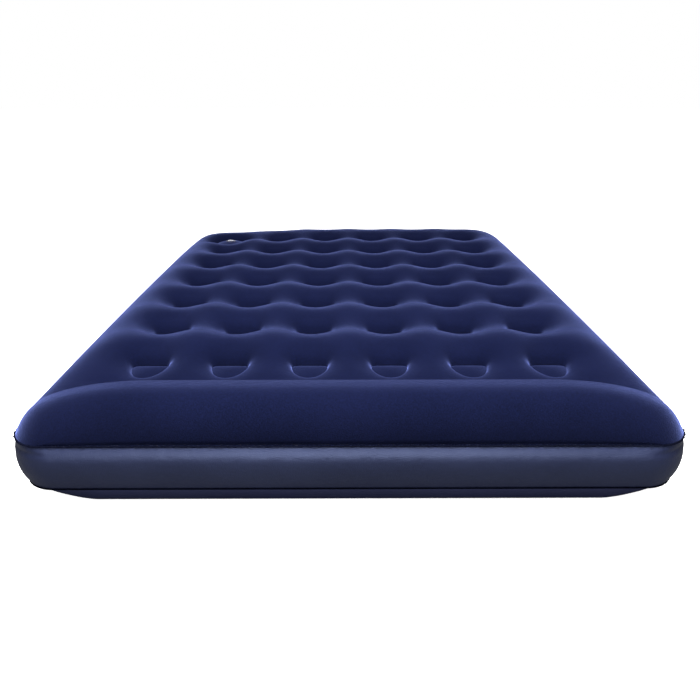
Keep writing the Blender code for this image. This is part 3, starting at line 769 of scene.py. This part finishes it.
def slab(length, width, thickness):
    """(points, faces) of a strap along -X from the origin, with a rounded far end and soft edges."""
    end_steps, chamfer = 10, 0.86
    plan = []
    for turn in np.linspace(0.5, 1.5, end_steps + 1) * math.pi:
        plan.append((-length + width / 2 * math.cos(turn), width / 2 * math.sin(turn)))
    plan += [(0, -width / 2), (0, width / 2)]
    points = []
    for share, level in ((chamfer, 0.5), (1.0, 0.3), (1.0, -0.3), (chamfer, -0.5)):
        points += [(x, y * share, level * thickness) for x, y in plan]
    count = len(plan)
    faces = [face[::-1] for face in loop_faces(4, count)]
    faces.append(tuple(range(count)))
    faces.append(tuple(range(4 * count - 1, 3 * count - 1, -1)))
    return np.array(points), faces


def merged(*shapes):
    """One (points, faces) from several, each a closed body of its own."""
    points, faces, first = [], [], 0
    for shape_points, shape_faces in shapes:
        points.append(np.asarray(shape_points))
        faces += [tuple(k + first for k in face) for face in shape_faces]
        first += len(shape_points)
    return np.concatenate(points), faces


def moved(shape, shift, matrix=None):
    """The shape turned by the matrix, if there is one, and then shifted."""
    points = np.asarray(shape[0])
    if matrix is not None:
        points = points @ np.array(matrix).T
    return points + np.array(shift), shape[1]


def flutes(count, depth, low, high):
    """Shallow flutes on a turned piece, faded in between the radii low and high."""
    def reshape(angle, radius, height):
        share = float(smooth((radius - low) / (high - low)))
        return -depth * share * (0.5 + 0.5 * np.cos(count * angle))
    return reshape


def add_moulding(name, shape, surface, body, cad_node):
    """Smooth piece with sharp edges kept, shown in place of a CAD node."""
    piece = add_mesh(name, *shape, surface, body)
    tidy_mesh(piece)
    piece.data.set_sharp_from_angle(angle=math.radians(50))
    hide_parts(cad_node)
    return piece


def push_cap(head_radius, plug_radius, reach, plug_depth):
    """A push-in cap about Z, head top at z = 0, with a pull tab at -X and a strap to x = reach."""
    head, dip, web = 0.0018, 0.0004, 0.0006  # head's thickness, its dip and the plug's floor
    strap_width, tab_width, tab_length, tab_thickness = 0.0072, 0.0085, 0.0052, head * 0.8
    rib_count, rib_pitch = 3, 0.0011
    plug_end = -head - plug_depth
    profile = [
        (AXIS, -dip), (head_radius * 0.55, -dip), (head_radius * 0.62, 0), (head_radius, 0),
        (head_radius, -head), (plug_radius, -head), (plug_radius, -head - plug_depth * 0.4),
        (plug_radius * 0.9, plug_end), (plug_radius * 0.7, plug_end),
        (plug_radius * 0.66, -head - web), (AXIS, -head - web),
    ]
    grip = flutes(48, 0.0002, head_radius * 0.9, head_radius)  # fine flutes round the head's edge
    body = turned(rounded(profile, 0.0004, 2), 64, grip)
    strap = slab(reach - head_radius + 0.003, strap_width, tab_thickness)
    strap = moved(strap, (reach, 0, -head / 2))
    tab = slab(tab_length, tab_width, tab_thickness)
    tab = moved(tab, (-head_radius + 0.002, 0, -head / 2))
    ribs = []
    for k in range(rib_count):
        rib = slab(length=0.0008, width=0.006, thickness=0.0006)
        ribs.append(moved(rib, (-head_radius - 0.0002 - rib_pitch * k, 0, 0.0001)))
    return merged(body, strap, tab, *ribs)


# ---- foot pump ----------------------------------------------------------------------------
def make_dome():
    """Flocked dome of the foot pump, gathered a little where it meets its cup."""
    low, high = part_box("pump_dome")
    radius, inner_edge = radius_of("pump_dome"), radius_of("inlet_seat") + 0.0006
    edge_z, wall, fullness = WELD_Z + 0.001, 0.0014, 0.9
    gather_count, gather_depth, gather_from = 28, 0.0008, 0.6
    outer = [(radius, low.z)]
    for r in np.linspace(radius, inner_edge, 22):
        outer.append((r, edge_z + (high.z - edge_z) * float(arc(1 - r / radius)) ** fullness))
    inner = [(max(r - wall, inner_edge), z - wall) for r, z in outer[1:]]
    profile = outer + inner[::-1] + [(radius - wall, low.z)]
    gathers = flutes(gather_count, gather_depth, radius * gather_from, radius)
    shape = moved(turned(profile, 112, gathers), (PUMP.x, PUMP.y, 0))
    dome = add_moulding("dome_skin", shape, FLOCK, "pump", "pump_dome")


def make_inlet():
    """Ring of the pump's air inlet and the glossy cap on it."""
    low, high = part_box("inlet_seat")
    bore, radius = 0.0085, radius_of("inlet_seat")
    flange = radius + 0.0045
    ring = [
        (bore, low.z), (radius, low.z), (radius, high.z - 0.0022), (flange, high.z - 0.0026),
        (flange, high.z - 0.0012), (radius - 0.001, high.z), (bore, high.z),
    ]
    shape = moved(turned(rounded(ring, 0.0005), 72), (PUMP.x, PUMP.y, 0))
    add_moulding("inlet_ring", shape, VALVE_PLASTIC, "pump", "inlet_seat")

    head_radius, plug_radius, plug_depth = 0.0135, 0.0072, 0.003
    reach = hinge_point("inlet_cap_hinge").x - PUMP.x
    shape = push_cap(head_radius, plug_radius, reach, plug_depth)
    shape = moved(shape, (PUMP.x, PUMP.y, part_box("inlet_cap")[1].z))
    add_moulding("inlet_stopper", shape, INLET_PLASTIC, "inlet_cap", "inlet_cap")


def make_foam():
    """Open-cell foam that pushes the dome back up after it is pressed."""
    low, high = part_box("pump_foam")
    radius, edge, clearance = radius_of("pump_foam"), 0.003, 0.003
    middle_z = (low.z + high.z) / 2
    profile = [(AXIS, low.z), (radius, low.z), (radius, middle_z), (radius, high.z), (AXIS, high.z)]

    def cells(angle, r, height):
        return 0.0005 * r / radius * np.sin(41 * angle + 900 * height) * np.sin(17 * angle)
    shape = moved(turned(rounded(profile, edge, 4), 96, cells), (PUMP.x, PUMP.y, 0))
    foam = add_moulding("foam_block", shape, FOAM, "bed", "pump_foam")
    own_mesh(foam)


# ---- deflation valve ----------------------------------------------------------------------
def make_valve():
    """Screw valve in the foot end: flange, collar and cap, each drawn with +Z out of the bed."""
    place = (VALVE.x, FACE_Y, VALVE.z)
    outwards = ((1, 0, 0), (0, 0, 1), (0, -1, 0))
    flange, end = radius_of("valve_base"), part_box("valve_base")[0].y - FACE_Y
    neck_out, neck_in = flange - 0.007, flange - 0.0098
    front, back = -0.009, -0.012
    base = [
        (neck_in, end), (neck_out, end), (neck_out, back), (flange, back), (flange, front - 0.0012),
        (flange - 0.0012, front), (neck_out + 0.0012, front), (neck_out + 0.0008, front - 0.0006),
        (neck_out - 0.0006, front), (neck_in, front),
    ]
    shape = moved(turned(rounded(base, 0.0004), 96), place, outwards)
    add_moulding("valve_flange", shape, VALVE_PLASTIC, "bed", "valve_base")

    rim_top, rim_low, skirt_end, bore_end = -0.0026, -0.0066, -0.0166, -0.0186
    rim, skirt_out, skirt_in, bore = 0.0315, 0.0257, 0.0238, 0.0125
    tube, floor_z = bore + 0.0016, rim_top - 0.0007
    collar = [
        (bore, bore_end), (tube, bore_end), (tube, rim_low),
        (skirt_in, rim_low), (skirt_in, skirt_end), (skirt_out, skirt_end), (skirt_out, rim_low),
        (rim, rim_low), (rim, rim_top - 0.0008), (rim - 0.003, rim_top), (0.0185, rim_top),
        (0.0178, floor_z), (bore + 0.0008, floor_z), (bore, rim_top - 0.0012),
    ]
    grip = flutes(40, 0.0007, rim - 0.0022, rim - 0.0004)
    shape = moved(turned(rounded(collar, 0.0004), 160, grip), place, outwards)
    add_moulding("valve_screw", shape, VALVE_PLASTIC, "valve_collar", "valve_collar")

    head_radius, plug_radius, plug_depth = 0.0168, 0.0113, 0.004
    reach = hinge_point("valve_cap_hinge").z - VALVE.z
    strap_up = ((0, 1, 0), (0, 0, 1), (1, 0, 0))  # turns the strap's +X up, and +Z to +Y
    shape = moved(push_cap(head_radius, plug_radius, reach, plug_depth), place, strap_up)
    add_moulding("valve_stopper", shape, VALVE_PLASTIC, "valve_cap", "valve_cap")


# ---- pieces kept from the CAD -------------------------------------------------------------
def finish_nodes():
    """Gives each CAD node the material of the longest name here that it starts with."""
    surfaces = {
        "coil": INNER_PVC, "pillow_wall": INNER_PVC, "pump_cup": INNER_PVC, "pump_foam": FOAM,
        "inlet": INLET_PLASTIC, "outlet_seat": VALVE_PLASTIC, "outlet_flap": RUBBER,
        "valve_seal": RUBBER, "valve_flap": RUBBER, "valve": VALVE_PLASTIC,
        "top": FLOCK, "side": BAND_PVC, "bottom": BOTTOM_PVC, "pump_dome": FLOCK,
    }
    longest_first = sorted(surfaces, key=len, reverse=True)
    for name, piece in frame["nodes"].items():
        start = next(key for key in longest_first if name.startswith(key))
        piece.data.materials.clear()
        piece.data.materials.append(surfaces[start])


# ---- stage --------------------------------------------------------------------------------
def seen_or_lit(tree, seen, lit):
    """Shader that the camera sees as one thing and that lights the bed as another."""
    path = tree.nodes.new("ShaderNodeLightPath")
    blend = tree.nodes.new("ShaderNodeMixShader")
    tree.links.new(path.outputs["Is Camera Ray"], blend.inputs[0])
    tree.links.new(lit, blend.inputs[1])
    tree.links.new(seen, blend.inputs[2])
    return blend.outputs[0]


def grey(level):
    """Neutral colour, with alpha."""
    return (level, level, level, 1)


def make_floor():
    """Pale floor that the camera sees as lit evenly, and that sends little light up to the bed."""
    floor_material, shader = new_material("floor")
    tree = floor_material.node_tree
    shader.inputs["Base Color"].default_value = grey(0.9)
    shader.inputs["Roughness"].default_value = 0.9
    shader.inputs["Specular IOR Level"].default_value = 0
    shader.inputs["Emission Color"].default_value = grey(1)
    shader.inputs["Emission Strength"].default_value = FLOOR_GLOW
    dim = tree.nodes.new("ShaderNodeBsdfDiffuse")
    dim.inputs["Color"].default_value = grey(FLOOR_BOUNCE)
    surface = seen_or_lit(tree, shader.outputs[0], dim.outputs[0])
    tree.links.new(surface, tree.nodes["Material Output"].inputs["Surface"])
    corners = [(x * FLOOR_HALF, y * FLOOR_HALF, 0) for x, y in ((-1, -1), (1, -1), (1, 1), (-1, 1))]
    add_mesh("floor", corners, [(0, 1, 2, 3)], floor_material, None)


def make_world():
    """Soft studio light, brightest overhead and dim to the sides, behind a white background."""
    world = bpy.data.worlds.new("studio")
    bpy.context.scene.world = world
    world.use_nodes = True
    tree = world.node_tree
    lit = tree.nodes["Background"]
    place = tree.nodes.new("ShaderNodeTexCoord")
    parts = tree.nodes.new("ShaderNodeSeparateXYZ")
    ramp = tree.nodes.new("ShaderNodeValToRGB")
    ramp.color_ramp.elements[0].color = grey(HORIZON)
    ramp.color_ramp.elements[1].color = grey(1)
    tree.links.new(place.outputs["Generated"], parts.inputs[0])
    tree.links.new(parts.outputs["Z"], ramp.inputs["Fac"])
    square = tree.nodes.new("ShaderNodeMath")
    square.operation = "MULTIPLY"
    for factor in square.inputs[:2]:
        tree.links.new(parts.outputs["X"], factor)
    sides = tree.nodes.new("ShaderNodeMapRange")
    sides.inputs["To Min"].default_value = AMBIENT
    sides.inputs["To Max"].default_value = AMBIENT * (1 - SIDE_DIM)
    tree.links.new(square.outputs[0], sides.inputs["Value"])
    tree.links.new(sides.outputs["Result"], lit.inputs["Strength"])
    tree.links.new(ramp.outputs["Color"], lit.inputs["Color"])
    seen = tree.nodes.new("ShaderNodeBackground")
    seen.inputs["Color"].default_value = grey(1)
    surface = seen_or_lit(tree, seen.outputs[0], lit.outputs[0])
    tree.links.new(surface, tree.nodes["World Output"].inputs["Surface"])
    bpy.context.scene.view_settings.view_transform = "Standard"


def add_softbox(name, place, target, size, power):
    """Wide soft lamp at a place, turned to face its target."""
    light = bpy.data.lights.new(name, "AREA")
    light.shape = "RECTANGLE"
    light.size, light.size_y = size
    light.energy = power
    lamp = bpy.data.objects.new(name, light)
    lamp.location = place
    aim = Vector(target) - Vector(place)
    lamp.rotation_euler = aim.to_track_quat("-Z", "Y").to_euler()
    bpy.context.scene.collection.objects.link(lamp)


def make_camera():
    camera = bpy.data.objects.new("camera", bpy.data.cameras.new("camera"))
    camera.data.sensor_width = SENSOR
    camera.data.lens = LENS
    camera.location = (CAMERA_X, HEAD_Y - CAMERA_BACK, CAMERA_Z)
    camera.rotation_euler = (math.radians(90 - CAMERA_DOWN), 0, math.radians(CAMERA_TURN))
    bpy.context.scene.collection.objects.link(camera)
    bpy.context.scene.camera = camera


def main():
    make_floor()
    make_world()
    for softbox in SOFTBOXES:
        add_softbox(*softbox)
    make_camera()
    make_top_skin()
    make_side_skin()
    make_bottom_skin()
    top_seam = (TOP_SEAM_INSET, TOP_SEAM_Z, TOP_SEAM_RADIUS)
    low_seam = (LOW_SEAM_INSET, LOW_SEAM_Z, LOW_SEAM_RADIUS)
    make_seam("top_seam", *top_seam, reach=0.0032, lean=-0.25, crimp=0.0013)
    make_seam("low_seam", *low_seam, reach=0.0021, lean=-0.6, crimp=0.0006)
    make_dome()
    make_inlet()
    make_foam()
    make_valve()
    finish_nodes()


main()
